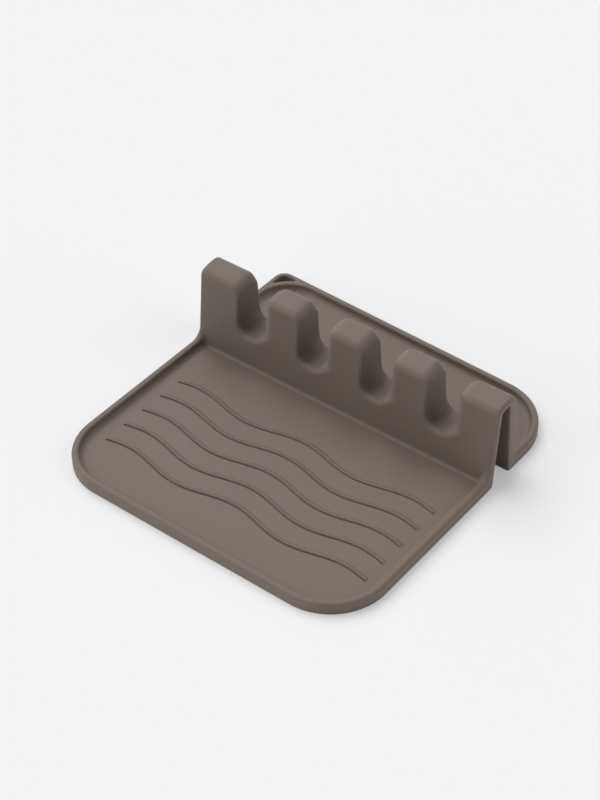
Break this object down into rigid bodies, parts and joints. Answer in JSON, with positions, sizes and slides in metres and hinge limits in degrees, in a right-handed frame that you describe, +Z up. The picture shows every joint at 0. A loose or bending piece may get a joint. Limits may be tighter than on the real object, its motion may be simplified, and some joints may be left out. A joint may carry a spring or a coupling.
{
  "type": "spoon rest",
  "caption": "Rectangular silicone spoon rest: a shallow tray with wavy ribs, a notched rack across it for tool handles and a narrow tray behind with a hanging eye.",
  "frame": {"origin": "middle of the footprint on the table", "axes": "+X to the right along the rack, +Y from the wide tray to the narrow one, +Z up"},
  "size_m": [0.165, 0.1696, 0.044],
  "materials": {
    "silicone": "matte"
  },
  "bodies": {
    "root": {"front_floor": "silicone", "front_rim": "silicone", "left_rim": "silicone", "right_rim": "silicone", "wave_rib_1": "silicone", "wave_rib_2": "silicone", "wave_rib_3": "silicone", "wave_rib_4": "silicone", "wave_rib_5": "silicone", "rack_base": "silicone", "tooth_1": "silicone", "tooth_2": "silicone", "tooth_3": "silicone", "tooth_4": "silicone", "tooth_5": "silicone", "rear_floor": "silicone", "rear_rim": "silicone", "rear_left_rim": "silicone", "rear_right_rim": "silicone", "hanging_corner": "silicone"}
  },
  "joints": []
}
